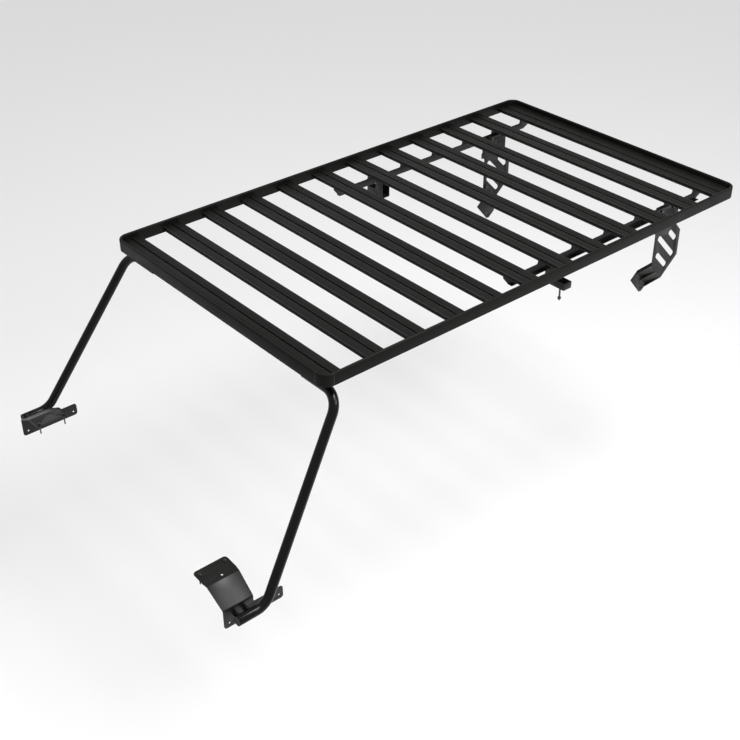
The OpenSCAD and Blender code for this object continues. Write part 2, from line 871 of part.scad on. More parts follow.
module rear_leg_outline() {
    difference() {
        polygon([
            leg_point(-leg_tab, rear_leg_top), leg_point(leg_top_l, rear_leg_top),
            leg_point(leg_top_l, -2), leg_point(rear_leg_l, -42),
            [rear_leg_y + rear_leg_l, -170], fold_end, fold_start,
            leg_point(0, -20), leg_point(-2, -10), leg_point(-9, -5), leg_point(-22, -2),
            leg_point(-22, 20), leg_point(-16, 30), leg_point(-leg_tab, 60)
        ]);
        rear_leg_slot(leg_point(107, -34), 53);
        rear_leg_slot(leg_point(32, -41), 154);
        rear_leg_slot(leg_point(32, -127), 91);
    }
}

// Places a shape drawn with X down the lip, Y inboard and Z along the fold
module at_fold() {
    d = fold_dir;
    multmatrix([
        [0, -1, 0, leg_x],
        [d[1], 0, d[0], fold_start[0]],
        [-d[0], 0, d[1], fold_start[1]],
        [0, 0, 0, 1]
    ]) children();
}

module rear_leg_lip() {
    clip = 16;
    at_fold() difference() {
        linear_extrude(fold_l) bent_sheet([
            [-20, 0], [0, 0], [shelf_run, lip_step], [shelf_run + lip_h, lip_step]
        ], leg_t, leg_bend_r);
        // clipped corner and hole in the lip
        translate([shelf_run + lip_h, lip_step, fold_l]) rotate([0, 45, 0])
            cube([clip, 6 * leg_t, clip], center = true);
        translate([shelf_run + lip_h - 16, lip_step, fold_l - 26]) rotate([90, 0, 0])
            cylinder(h = 30, r = m6_hole_r, center = true);
    }
}

leg_rib_t = 5;

// Ribs that stiffen the folds
module rear_leg_ribs() {
    s = shelf_run;
    at_fold() for (z = [1, fold_l / 2 - leg_rib_t / 2, fold_l - leg_rib_t - 1]) translate([0, 0, z])
        linear_extrude(leg_rib_t)
            polygon([[-26, 0], [s - 4, lip_step], [s + 28, lip_step], [4, 0]]);
}

module rear_leg(side) {
    color(BLACK) on_side(side) difference() {
        union() {
            yz_plate(leg_x - leg_t / 2, leg_t) rear_leg_outline();
            rear_leg_lip();
            rear_leg_ribs();
        }
        rear_bolt_places() cylinder(h = 60, r = m8_hole_r, center = true);
    }
}

rear_bolt_z = rail_z + 15;

// Bolt axes along X, out from the outboard face of the rear leg
module rear_bolt_places() {
    for (dy = [24, 104]) translate([leg_x + leg_t / 2, rear_leg_y + dy, rear_bolt_z])
        rotate([0, 90, 0]) children();
}

block_t = 16;
block_face_x = rail_x - rail_t / 2 - leg_gap;

module clamp_block(side) {
    color(BLACK) on_side(side) difference() {
        translate([block_face_x - block_t, rear_leg_y + 8, rail_z])
            cube([block_t, 112, 28]);
        rear_bolt_places() cylinder(h = 120, r = m8_hole_r, center = true);
    }
}

rear_grip = leg_t + rail_t + block_t + 2 * leg_gap;

module rear_leg_bolts() {
    color(STEEL) both_sides() rear_bolt_places() translate([0, 0, seat])
        hex_bolt(m8_r, m8_across, m8_head_h, rear_grip + nut_h + 3);
}

module rear_leg_nuts() {
    color(STEEL) both_sides() rear_bolt_places() translate([0, 0, -rear_grip - seat - nut_h])
        nut(m8_r, m8_across, nut_h);
}

// ---------- drawing ----------

module left_rim() {
    side_rim(-1);
}

module right_rim() {
    side_rim(1);
}

module front_left_corner() {
    corner(-1, 0);
}

module front_right_corner() {
    corner(1, 0);
}

module rear_left_corner() {
    corner(-1, 1);
}

module rear_right_corner() {
    corner(1, 1);
}

module slat_01() {
    slat(0);
}

module slat_02() {
    slat(1);
}

module slat_03() {
    slat(2);
}

module slat_04() {
    slat(3);
}

module slat_05() {
    slat(4);
}

module slat_06() {
    slat(5);
}

module slat_07() {
    slat(6);
}

module slat_08() {
    slat(7);
}

module slat_09() {
    slat(8);
}

module slat_10() {
    slat(9);
}

module slat_11() {
    slat(10);
}

module slat_12() {
    slat(11);
}

module left_foot_rail() {
    foot_rail(-1);
}

module right_foot_rail() {
    foot_rail(1);
}

module left_front_leg() {
    front_leg(-1);
}

module right_front_leg() {
    front_leg(1);
}

module left_leg_saddle() {
    leg_saddle(-1);
}

module right_leg_saddle() {
    leg_saddle(1);
}

module left_front_foot() {
    front_foot(-1);
}

module right_front_foot() {
    front_foot(1);
}

module left_mid_bracket() {
    mid_bracket(-1);
}

module right_mid_bracket() {
    mid_bracket(1);
}

module left_rear_leg() {
    rear_leg(-1);
}

module right_rear_leg() {
    rear_leg(1);
}

module left_clamp_block() {
    clamp_block(-1);
}

module right_clamp_block() {
    clamp_block(1);
}

front_rim();
rear_rim();
left_rim();
right_rim();
front_left_corner();
front_right_corner();
rear_left_corner();
rear_right_corner();
slat_01();
slat_02();
slat_03();
slat_04();
slat_05();
slat_06();
slat_07();
slat_08();
slat_09();
slat_10();
slat_11();
slat_12();
rear_filler_strip();
filler_rivets();
slat_end_clips();
slat_end_bolts();
left_foot_rail();
right_foot_rail();
rail_t_bolts();
rail_washers();
rail_nuts();
left_front_leg();
right_front_leg();
front_leg_caps();
left_leg_saddle();
right_leg_saddle();
saddle_t_bolts();
saddle_nuts();
left_front_foot();
right_front_foot();
front_foot_gussets();
front_foot_bolts();
front_foot_washers();
left_mid_bracket();
right_mid_bracket();
mid_bracket_bolts();
mid_bracket_nuts();
roof_studs();
stud_washers();
stud_nuts();
left_rear_leg();
right_rear_leg();
left_clamp_block();
right_clamp_block();
rear_leg_bolts();
rear_leg_nuts();
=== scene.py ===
import json
from math import acos, cos, radians, tan

import bmesh
import bpy
from bpy.props import FloatProperty, FloatVectorProperty, IntProperty, PointerProperty
from bpy.types import Operator, Panel, PropertyGroup
from mathutils import Matrix, Vector

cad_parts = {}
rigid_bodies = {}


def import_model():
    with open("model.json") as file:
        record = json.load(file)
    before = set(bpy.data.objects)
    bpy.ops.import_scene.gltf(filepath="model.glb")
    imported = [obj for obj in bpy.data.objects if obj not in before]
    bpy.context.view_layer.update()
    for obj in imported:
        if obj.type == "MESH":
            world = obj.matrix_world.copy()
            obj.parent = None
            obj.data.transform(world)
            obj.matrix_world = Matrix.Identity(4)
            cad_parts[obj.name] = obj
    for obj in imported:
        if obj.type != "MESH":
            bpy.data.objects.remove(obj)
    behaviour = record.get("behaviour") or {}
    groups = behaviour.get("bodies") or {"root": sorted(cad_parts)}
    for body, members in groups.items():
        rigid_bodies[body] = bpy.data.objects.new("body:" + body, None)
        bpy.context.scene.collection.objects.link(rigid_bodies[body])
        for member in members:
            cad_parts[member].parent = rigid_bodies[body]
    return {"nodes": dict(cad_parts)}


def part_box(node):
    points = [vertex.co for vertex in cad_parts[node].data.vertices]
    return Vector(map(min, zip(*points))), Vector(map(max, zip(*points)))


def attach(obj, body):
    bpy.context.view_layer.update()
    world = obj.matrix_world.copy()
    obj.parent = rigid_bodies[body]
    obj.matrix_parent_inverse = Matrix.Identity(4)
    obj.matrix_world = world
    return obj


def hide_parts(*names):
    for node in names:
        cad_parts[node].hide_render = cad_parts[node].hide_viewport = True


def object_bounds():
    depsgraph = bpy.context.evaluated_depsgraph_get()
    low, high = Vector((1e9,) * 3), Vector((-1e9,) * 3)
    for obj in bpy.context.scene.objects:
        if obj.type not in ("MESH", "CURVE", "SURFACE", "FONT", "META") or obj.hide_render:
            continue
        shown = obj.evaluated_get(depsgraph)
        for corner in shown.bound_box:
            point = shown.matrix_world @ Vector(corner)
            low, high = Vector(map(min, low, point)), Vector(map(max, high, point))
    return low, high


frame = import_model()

bl_info = {
    "name": "Slatted Roof Rack",
    "version": (1, 0, 0),
    "blender": (4, 5, 0),
    "location": "3D View > Sidebar > Roof Rack",
    "description": "Builds the looks of a slatted roof rack around its packed frame",
    "category": "Object",
}

NODES = frame["nodes"]
FRAME_BOX = [list(corner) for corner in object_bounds()]
X, Y, Z = Vector((1, 0, 0)), Vector((0, 1, 0)), Vector((0, 0, 1))
SIDES = (("left", -1), ("right", 1))
SLAT_COUNT = 12

MERGE = 0.000002          # vertices of one place in a frame node lie closer than this
CAP_INSET = 0.0006        # a cap's flange stays this far inside the tube's outline
CAP_FLANGE = 0.0025
CAP_STAND_OUT = 0.00135   # middle of the flange, from the tube's end
CAP_PLUG = 0.01           # depth of the plug behind the flange
STUD_RADIUS = 0.004
STUD_HEAD_ACROSS = 0.013
STUD_HEAD_HEIGHT = 0.0053
EDGE_NUT, EDGE_BOLT, EDGE_SMALL, EDGE_WASHER = 0.0008, 0.0006, 0.0005, 0.0003


# ---------------------------------------------------------------- settings

class RackSizes(PropertyGroup):
    """Sizes of the modelled pieces"""
    tube_diameter: FloatProperty(
        name="Tube diameter", description="Outside diameter of the front leg tube",
        default=0.038, min=0.02, max=0.06, unit="LENGTH")
    tube_wall: FloatProperty(
        name="Tube wall", description="Wall of the front leg tube",
        default=0.0025, min=0.001, max=0.005, unit="LENGTH")
    tube_bend: FloatProperty(
        name="Tube bend", description="Centreline radius of the tube bends",
        default=0.08, min=0.05, max=0.15, unit="LENGTH")
    leg_stand_out: FloatProperty(
        name="Leg stand-out", description="Distance of a leg's upper corner outside the rim",
        default=0.004, min=0, max=0.03, unit="LENGTH")
    foot_run: FloatProperty(
        name="Foot run", description="Length of the lower tube run from its corner",
        default=0.124, min=0.08, max=0.2, unit="LENGTH")
    tube_sides: IntProperty(
        name="Tube sides", description="Facets round a tube", default=48, min=16, max=96)
    bend_steps: IntProperty(
        name="Bend steps", description="Rings along a tube bend", default=16, min=6, max=48)
    sheet_edge: FloatProperty(
        name="Sheet edge", description="Edge rounding of cut and bent sheet",
        default=0.0007, min=0.0001, max=0.002, unit="LENGTH")
    profile_edge: FloatProperty(
        name="Profile edge", description="Edge rounding of the extruded profiles",
        default=0.0005, min=0.0001, max=0.002, unit="LENGTH")
    weld_bead: FloatProperty(
        name="Weld bead", description="Width of the weld beads",
        default=0.0045, min=0.002, max=0.01, unit="LENGTH")
    thread_pitch: FloatProperty(
        name="Thread pitch", description="Pitch of the roof studs' thread",
        default=0.00125, min=0.0005, max=0.003, unit="LENGTH")


class RackColours(PropertyGroup):
    """Colours of the finishes"""
    slat_coat: FloatVectorProperty(
        name="Slat coat", description="Powder coat of the slats", subtype="COLOR",
        default=(0.0052, 0.0051, 0.0047), min=0, max=1, size=3)
    rim_coat: FloatVectorProperty(
        name="Rim coat", description="Powder coat of the rims and corners", subtype="COLOR",
        default=(0.0046, 0.0045, 0.0041), min=0, max=1, size=3)
    plate_coat: FloatVectorProperty(
        name="Plate coat", description="Textured coat of brackets, rails and feet",
        subtype="COLOR", default=(0.0042, 0.004, 0.0035), min=0, max=1, size=3)
    tube_coat: FloatVectorProperty(
        name="Tube coat", description="Satin coat of the front legs", subtype="COLOR",
        default=(0.0022, 0.0021, 0.0018), min=0, max=1, size=3)
    # Lighter than the coats it edges: a painted highlight along the rounded edges
    edge_highlight_coat: FloatVectorProperty(
        name="Edge coat", description="Lighter coat along the edges, a painted highlight", subtype="COLOR",
        default=(0.035, 0.035, 0.034), min=0, max=1, size=3)
    zinc: FloatVectorProperty(
        name="Black zinc", description="Plating of the fasteners", subtype="COLOR",
        default=(0.1, 0.1, 0.096), min=0, max=1, size=3)
    rubber: FloatVectorProperty(
        name="Rubber", description="Caps in the tube ends", subtype="COLOR",
        default=(0.012, 0.012, 0.012), min=0, max=1, size=3)
    floor: FloatVectorProperty(
        name="Floor", description="Pale studio floor", subtype="COLOR",
        default=(0.9, 0.9, 0.9), min=0, max=1, size=3)


class StudioSettings(PropertyGroup):
    """Camera, lights and floor"""
    camera_place: FloatVectorProperty(
        name="Camera place", description="Where the camera stands", subtype="TRANSLATION",
        unit="LENGTH", default=(3.5271, -3.5058, 2.5822), size=3)
    camera_aim: FloatVectorProperty(
        name="Camera aim", description="Direction that the camera looks in",
        subtype="DIRECTION", default=(-0.63749, 0.53564, -0.55379), size=3)
    camera_up: FloatVectorProperty(
        name="Camera up", description="Direction of the top of the picture",
        subtype="DIRECTION", default=(-0.41932, 0.3618, 0.83263), size=3)
    lens: FloatProperty(
        name="Lens", description="Focal length in millimetres on a 36 mm sensor",
        default=60.59, min=20, max=200)
    floor_drop: FloatProperty(
        name="Floor drop", description="Depth of the floor below the lowest foot",
        default=1.2, min=0, max=4, unit="LENGTH")
    sky: FloatProperty(
        name="Sky", description="Strength of the white surroundings",
        default=0.74, min=0, max=5)
    key_place: FloatVectorProperty(
        name="Key place", description="Key light, from the middle of the rack",
        subtype="TRANSLATION", unit="LENGTH", default=(2.0, 0.3, 4.4), size=3)
    key_size: FloatProperty(
        name="Key size", description="Diameter of the key light",
        default=1.6, min=0.1, max=10, unit="LENGTH")
    fill_place: FloatVectorProperty(
        name="Fill place", description="Fill light, from the middle of the rack",
        subtype="TRANSLATION", unit="LENGTH", default=(3.6, 1.2, 3.0), size=3)
    fill_size: FloatProperty(
        name="Fill size", description="Diameter of the fill light",
        default=1.2, min=0.1, max=10, unit="LENGTH")
    key_power: FloatProperty(
        name="Key light", description="Power of the large light overhead",
        default=170, min=0, max=3000, unit="POWER")
    fill_power: FloatProperty(
        name="Fill light", description="Power of the light on the right",
        default=90, min=0, max=3000, unit="POWER")


# ---------------------------------------------------------------- modelling by hand

def clear_selection():
    if bpy.context.mode != "OBJECT":
        bpy.ops.object.mode_set(mode="OBJECT")
    bpy.ops.object.select_all(action="DESELECT")


def pick(obj):
    clear_selection()
    obj.select_set(True)
    bpy.context.view_layer.objects.active = obj


def name_piece(obj, name):
    obj.name = name
    obj.data.name = name
    return obj


def apply_place(obj):
    pick(obj)
    bpy.ops.object.transform_apply(location=True, rotation=True, scale=True)


def select_where(obj, test, kind="FACE"):
    """Selects the faces, edges or vertices of obj that pass the test, in edit mode"""
    bpy.ops.mesh.select_mode(type=kind)
    bpy.ops.mesh.select_all(action="DESELECT")
    mesh = bmesh.from_edit_mesh(obj.data)
    for item in {"FACE": mesh.faces, "EDGE": mesh.edges, "VERT": mesh.verts}[kind]:
        item.select_set(test(item))
    mesh.select_flush_mode()
    bmesh.update_edit_mesh(obj.data)


def with_modifier(obj, kind, **values):
    pick(obj)
    mod = obj.modifiers.new(kind.lower(), kind)
    for key, value in values.items():
        setattr(mod, key, value)
    bpy.ops.object.modifier_apply(modifier=mod.name)


def smooth(obj, angle=30):
    pick(obj)
    bpy.ops.object.shade_smooth_by_angle(angle=radians(angle))


def copy_of_node(node, name):
    """A merged copy of a frame node's mesh, at the origin and free of its parent"""
    source = NODES[node]
    pick(source)
    bpy.ops.object.duplicate()
    piece = bpy.context.active_object
    bpy.ops.object.parent_clear(type="CLEAR_KEEP_TRANSFORM")
    name_piece(piece, name)
    bpy.ops.object.mode_set(mode="EDIT")
    bpy.ops.mesh.select_all(action="SELECT")
    bpy.ops.mesh.remove_doubles(threshold=MERGE)
    bpy.ops.mesh.dissolve_limited(angle_limit=radians(0.6))
    bpy.ops.object.mode_set(mode="OBJECT")
    return piece


def rounded_copy(node, edge, coats, slot, angle=32, segments=2):
    """The node's shape with its sharp edges rounded, the round in the second coat; where that is
    the lighter edge coat, it is a painted highlight along the edges
    """
    piece = copy_of_node(node, node + "_finished")
    piece.data.materials.clear()
    for coat in coats:
        piece.data.materials.append(coat)
    for face in piece.data.polygons:
        face.material_index = 0
    with_modifier(
        piece, "BEVEL", width=edge, segments=segments, limit_method="ANGLE",
        angle_limit=radians(angle), material=len(coats) - 1, use_clamp_overlap=True,
        miter_outer="MITER_ARC", harden_normals=False)
    smooth(piece, 35)
    settle(piece, slot, node)
    return piece


def settle(piece, slot, *nodes):
    """The piece rides on the frame and stands for its nodes"""
    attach(piece, "root")
    if nodes:
        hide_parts(*nodes)


def loose_boxes(node):
    """Lowest and highest corner of each separate solid in a frame node"""
    mesh = bmesh.new()
    mesh.from_mesh(NODES[node].data)
    bmesh.ops.remove_doubles(mesh, verts=mesh.verts, dist=MERGE)
    seen, boxes = set(), []
    for first in mesh.verts:
        if first in seen:
            continue
        seen.add(first)
        stack, found = [first], []
        while stack:
            vert = stack.pop()
            found.append(vert.co.copy())
            for edge in vert.link_edges:
                other = edge.other_vert(vert)
                if other not in seen:
                    seen.add(other)
                    stack.append(other)
        low = Vector([min(p[k] for p in found) for k in range(3)])
        high = Vector([max(p[k] for p in found) for k in range(3)])
        boxes.append((low, high))
    mesh.free()
    return boxes


def turned_to(direction):
    return direction.to_track_quat("Z", "Y").to_euler()


def joined(pieces, name):
    clear_selection()
    for piece in pieces:
        piece.select_set(True)
    bpy.context.view_layer.objects.active = pieces[0]
    if len(pieces) > 1:
        bpy.ops.object.join()
    return name_piece(bpy.context.active_object, name)


def finish_joined(pieces, name, coat, angle, slot, *nodes):
    """Joins the pieces under one coat and settles them on the frame"""
    piece = joined(pieces, name)
    piece.data.materials.clear()
    piece.data.materials.append(coat)
    smooth(piece, angle)
    settle(piece, slot, *nodes)


# ---------------------------------------------------------------- shader groups

def new_group(name, inputs, outputs):
    group = bpy.data.node_groups.new(name, "ShaderNodeTree")
    for label, kind, default in inputs:
        item = group.interface.new_socket(label, in_out="INPUT", socket_type=kind)
        if default is not None:
            item.default_value = default
    for label, kind in outputs:
        group.interface.new_socket(label, in_out="OUTPUT", socket_type=kind)
    return group, group.nodes.new("NodeGroupInput"), group.nodes.new("NodeGroupOutput")


def add(tree, kind, **values):
    node = tree.nodes.new(kind)
    for key, value in values.items():
        setattr(node, key, value)
    return node


def math_node(tree, operation, a, b=None, c=None, clamp=False):
    node = add(tree, "ShaderNodeMath", operation=operation, use_clamp=clamp)
    for k, value in enumerate((a, b, c)):
        if value is None:
            continue
        if isinstance(value, (int, float)):
            node.inputs[k].default_value = value
        else:
            tree.links.new(value, node.inputs[k])
    return node.outputs[0]


def powder_grain_group():
    """Orange peel of a powder coat: fine height, and a broad mottle"""
    if "Powder grain" in bpy.data.node_groups:
        return bpy.data.node_groups["Powder grain"]
    group, start, end = new_group(
        "Powder grain",
        [("Vector", "NodeSocketVector", None), ("Scale", "NodeSocketFloat", 900.0),
         ("Mottle scale", "NodeSocketFloat", 9.0)],
        [("Height", "NodeSocketFloat"), ("Mottle", "NodeSocketFloat"),
         ("Speckle", "NodeSocketFloat")])
    links = group.links
    fine = add(group, "ShaderNodeTexNoise")
    fine.inputs["Detail"].default_value = 3
    links.new(start.outputs["Vector"], fine.inputs["Vector"])
    links.new(start.outputs["Scale"], fine.inputs["Scale"])
    peel = add(group, "ShaderNodeTexVoronoi", feature="SMOOTH_F1")
    links.new(start.outputs["Vector"], peel.inputs["Vector"])
    links.new(math_node(group, "MULTIPLY", start.outputs["Scale"], 0.45), peel.inputs["Scale"])
    height = math_node(group, "MULTIPLY_ADD", peel.outputs["Distance"], 0.6,
                       fine.outputs["Fac"])
    links.new(height, end.inputs["Height"])
    broad = add(group, "ShaderNodeTexNoise")
    broad.inputs["Detail"].default_value = 4
    broad.inputs["Roughness"].default_value = 0.6
    links.new(start.outputs["Vector"], broad.inputs["Vector"])
    links.new(start.outputs["Mottle scale"], broad.inputs["Scale"])
    links.new(broad.outputs["Fac"], end.inputs["Mottle"])
    specks = add(group, "ShaderNodeMapRange")
    specks.inputs["From Min"].default_value = 0.62
    specks.inputs["From Max"].default_value = 0.72
    links.new(fine.outputs["Fac"], specks.inputs["Value"])
    links.new(specks.outputs["Result"], end.inputs["Speckle"])
    return group


def settled_dust_group():
    """Thin dust on faces that look up, thicker in patches"""
    if "Settled dust" in bpy.data.node_groups:
        return bpy.data.node_groups["Settled dust"]
    group, start, end = new_group(
        "Settled dust",
        [("Vector", "NodeSocketVector", None), ("Amount", "NodeSocketFloat", 0.3),
         ("Scale", "NodeSocketFloat", 14.0)],
        [("Mask", "NodeSocketFloat")])
    links = group.links
    facing = add(group, "ShaderNodeNewGeometry")
    split = add(group, "ShaderNodeSeparateXYZ")
    links.new(facing.outputs["Normal"], split.inputs[0])
    up = add(group, "ShaderNodeMapRange")
    up.inputs["From Min"].default_value = 0.35
    up.inputs["From Max"].default_value = 0.95
    links.new(split.outputs["Z"], up.inputs["Value"])
    patch = add(group, "ShaderNodeTexNoise")
    patch.inputs["Detail"].default_value = 6
    patch.inputs["Roughness"].default_value = 0.7
    links.new(start.outputs["Vector"], patch.inputs["Vector"])
    links.new(start.outputs["Scale"], patch.inputs["Scale"])
    ramp = add(group, "ShaderNodeMapRange")
    ramp.inputs["From Min"].default_value = 0.35
    ramp.inputs["From Max"].default_value = 0.75
    links.new(patch.outputs["Fac"], ramp.inputs["Value"])
    mask = math_node(group, "MULTIPLY", up.outputs["Result"], ramp.outputs["Result"])
    mask = math_node(group, "MULTIPLY", mask, start.outputs["Amount"], clamp=True)
    links.new(mask, end.inputs["Mask"])
    return group


def draw_lines_group():
    """Long fine lines that drawing or brushing leaves along a piece"""
    if "Draw lines" in bpy.data.node_groups:
        return bpy.data.node_groups["Draw lines"]
    group, start, end = new_group(
        "Draw lines",
        [("Vector", "NodeSocketVector", None), ("Along", "NodeSocketVector", (1.0, 300.0, 300.0))],
        [("Lines", "NodeSocketFloat")])
    links = group.links
    stretch = add(group, "ShaderNodeVectorMath", operation="MULTIPLY")
    links.new(start.outputs["Vector"], stretch.inputs[0])
    links.new(start.outputs["Along"], stretch.inputs[1])
    noise = add(group, "ShaderNodeTexNoise")
    noise.inputs["Scale"].default_value = 1.0
    noise.inputs["Detail"].default_value = 4
    links.new(stretch.outputs[0], noise.inputs["Vector"])
    links.new(noise.outputs["Fac"], end.inputs["Lines"])
    return group


def use_group(tree, group, **values):
    node = tree.nodes.new("ShaderNodeGroup")
    node.node_tree = group
    for key, value in values.items():
        node.inputs[key.replace("_", " ")].default_value = value
    return node


def start_material(name):
    if name in bpy.data.materials:
        return bpy.data.materials[name], None, None, None
    material = bpy.data.materials.new(name)
    material.use_nodes = True
    tree = material.node_tree
    shader = tree.nodes["Principled BSDF"]
    place = add(tree, "ShaderNodeTexCoord")
    return material, tree, shader, place.outputs["Object"]


def mixed_colour(tree, fac, a, b):
    node = add(tree, "ShaderNodeMix", data_type="RGBA")
    tree.links.new(fac, node.inputs["Factor"])
    for socket, value in ((node.inputs["A"], a), (node.inputs["B"], b)):
        if hasattr(value, "is_linked") or isinstance(value, bpy.types.NodeSocket):
            tree.links.new(value, socket)
        else:
            socket.default_value = (*value, 1)
    return node.outputs["Result"]


def scaled(colour, k):
    return tuple(min(1.0, c * k) for c in colour)


def powder_coat(name, colour, roughness, grain=900.0, relief=0.00006, dust=0.25,
                along=None, line_relief=0.0, shine=0.09):
    """Black powder coat with orange peel, mottling, settled dust and, on profiles, die lines"""
    material, tree, shader, where = start_material(name)
    if tree is None:
        return material
    links = tree.links
    peel = use_group(tree, powder_grain_group(), Scale=grain, Mottle_scale=9.0)
    links.new(where, peel.inputs["Vector"])
    settled = use_group(tree, settled_dust_group(), Amount=dust)
    links.new(where, settled.inputs["Vector"])
    base = mixed_colour(tree, peel.outputs["Mottle"], scaled(colour, 0.78), scaled(colour, 1.22))
    base = mixed_colour(tree, math_node(tree, "MULTIPLY", peel.outputs["Speckle"], 0.35),
                        base, scaled(colour, 2.4))
    dusty = tuple(0.5 * c + 0.022 for c in colour)
    base = mixed_colour(tree, settled.outputs["Mask"], base, dusty)
    links.new(base, shader.inputs["Base Color"])
    rough = math_node(tree, "MULTIPLY_ADD", peel.outputs["Mottle"], 0.22, roughness - 0.11)
    rough = math_node(tree, "MULTIPLY_ADD", settled.outputs["Mask"], 0.3, rough, clamp=True)
    links.new(rough, shader.inputs["Roughness"])
    shader.inputs["Specular IOR Level"].default_value = shine
    bump = add(tree, "ShaderNodeBump")
    bump.inputs["Strength"].default_value = 0.7
    bump.inputs["Distance"].default_value = relief
    height = peel.outputs["Height"]
    if along:
        lines = use_group(tree, draw_lines_group(), Along=along)
        links.new(where, lines.inputs["Vector"])
        height = math_node(tree, "MULTIPLY_ADD", lines.outputs["Lines"], line_relief, height)
    links.new(height, bump.inputs["Height"])
    links.new(bump.outputs["Normal"], shader.inputs["Normal"])
    return material


def black_zinc(name, colour, along=(60.0, 60.0, 900.0), thread=0.0):
    """Dark plated steel with fine turning marks, and a thread where asked for, its grooves
    carrying painted shade
    """
    material, tree, shader, where = start_material(name)
    if tree is None:
        return material
    links = tree.links
    lines = use_group(tree, draw_lines_group(), Along=along)
    links.new(where, lines.inputs["Vector"])
    patch = use_group(tree, powder_grain_group(), Scale=400.0, Mottle_scale=120.0)
    links.new(where, patch.inputs["Vector"])
    base = mixed_colour(tree, patch.outputs["Mottle"], scaled(colour, 0.55), scaled(colour, 1.6))
    height = lines.outputs["Lines"]
    if thread:
        ridge = add(tree, "ShaderNodeTexWave", wave_type="BANDS", bands_direction="Z",
                    wave_profile="TRI")
        ridge.inputs["Scale"].default_value = 0.5 / thread / 10.0
        links.new(where, ridge.inputs["Vector"])
        # Thread grooves painted darker than the ridges: painted shade in the valleys of the thread
        base = mixed_colour(tree, ridge.outputs["Fac"], scaled(colour, 0.3), base)
        height = math_node(tree, "MULTIPLY_ADD", ridge.outputs["Fac"], 8.0, height)
    links.new(base, shader.inputs["Base Color"])
    shader.inputs["Metallic"].default_value = 1.0
    rough = math_node(tree, "MULTIPLY_ADD", patch.outputs["Mottle"], 0.25, 0.26)
    links.new(rough, shader.inputs["Roughness"])
    bump = add(tree, "ShaderNodeBump")
    bump.inputs["Strength"].default_value = 0.6
    bump.inputs["Distance"].default_value = 0.00008
    links.new(height, bump.inputs["Height"])
    links.new(bump.outputs["Normal"], shader.inputs["Normal"])
    return material


def moulded_rubber(name, colour):
    material, tree, shader, where = start_material(name)
    if tree is None:
        return material
    grain = use_group(tree, powder_grain_group(), Scale=1500.0, Mottle_scale=60.0)
    tree.links.new(where, grain.inputs["Vector"])
    base = mixed_colour(tree, grain.outputs["Mottle"], scaled(colour, 0.6), scaled(colour, 1.5))
    tree.links.new(base, shader.inputs["Base Color"])
    rough = math_node(tree, "MULTIPLY_ADD", grain.outputs["Mottle"], 0.2, 0.68)
    tree.links.new(rough, shader.inputs["Roughness"])
    bump = add(tree, "ShaderNodeBump")
    bump.inputs["Distance"].default_value = 0.0001
    tree.links.new(grain.outputs["Height"], bump.inputs["Height"])
    tree.links.new(bump.outputs["Normal"], shader.inputs["Normal"])
    return material


def welded_coat(name, colour):
    """Powder coat over the ripples of a weld bead"""
    material, tree, shader, where = start_material(name)
    if tree is None:
        return material
    grain = use_group(tree, powder_grain_group(), Scale=500.0, Mottle_scale=160.0)
    tree.links.new(where, grain.inputs["Vector"])
    base = mixed_colour(tree, grain.outputs["Mottle"], scaled(colour, 0.7), scaled(colour, 1.7))
    tree.links.new(base, shader.inputs["Base Color"])
    rough = math_node(tree, "MULTIPLY_ADD", grain.outputs["Mottle"], 0.3, 0.35)
    tree.links.new(rough, shader.inputs["Roughness"])
    bump = add(tree, "ShaderNodeBump")
    bump.inputs["Distance"].default_value = 0.0008
    tree.links.new(grain.outputs["Mottle"], bump.inputs["Height"])
    tree.links.new(bump.outputs["Normal"], shader.inputs["Normal"])
    return material


def coats(context):
    """Every finish on the rack, by name"""
    tint = context.scene.rack_colours
    sizes = context.scene.rack_sizes
    return {
        "slat": powder_coat("slat powder coat", tint.slat_coat, 0.5, dust=0.16,
                            along=(1.2, 420.0, 420.0), line_relief=0.5),
        "side rim": powder_coat("side rim powder coat", tint.rim_coat, 0.46, dust=0.14,
                                along=(420.0, 1.2, 420.0), line_relief=0.4),
        "end rim": powder_coat("end rim powder coat", tint.rim_coat, 0.46, dust=0.14,
                               along=(1.2, 420.0, 420.0), line_relief=0.4),
        "corner": powder_coat("corner powder coat", tint.rim_coat, 0.48, grain=700.0, dust=0.14),
        "plate": powder_coat("plate texture coat", tint.plate_coat, 0.36, grain=620.0,
                             relief=0.00012, dust=0.05, shine=0.26),
        "tube": powder_coat("tube satin coat", tint.tube_coat, 0.25, grain=1100.0,
                            relief=0.00004, dust=0.02, shine=0.16),
        # The edge coat's lighter colour is a painted highlight on the rounded edges; its gloss is
        # its own
        "edge": powder_coat("edge coat with painted highlight", tint.edge_highlight_coat, 0.4, dust=0.05, shine=0.6),
        "zinc": black_zinc("black zinc plating", tint.zinc),
        "thread": black_zinc("black zinc thread", tint.zinc, thread=sizes.thread_pitch),
        "rubber": moulded_rubber("moulded rubber", tint.rubber),
        "weld": welded_coat("coated weld", tint.tube_coat),
    }


# ---------------------------------------------------------------- pieces

class RACK_OT_tray_rims(Operator):
    """Front, rear and side rims and the four cast corners, with softened edges"""
    bl_idname = "rack.tray_rims"
    bl_label = "Tray rims"

    def execute(self, context):
        finish, edge = coats(context), context.scene.rack_sizes.profile_edge
        for node in ("front_rim", "rear_rim"):
            rounded_copy(node, edge, [finish["end rim"], finish["edge"]], "rim_powder_coat")
        for side, _ in SIDES:
            rounded_copy(side + "_rim", edge, [finish["side rim"], finish["edge"]],
                         "rim_powder_coat")
            for end in ("front", "rear"):
                rounded_copy(f"{end}_{side}_corner", edge, [finish["corner"], finish["edge"]],
                             "rim_powder_coat")
        return {"FINISHED"}


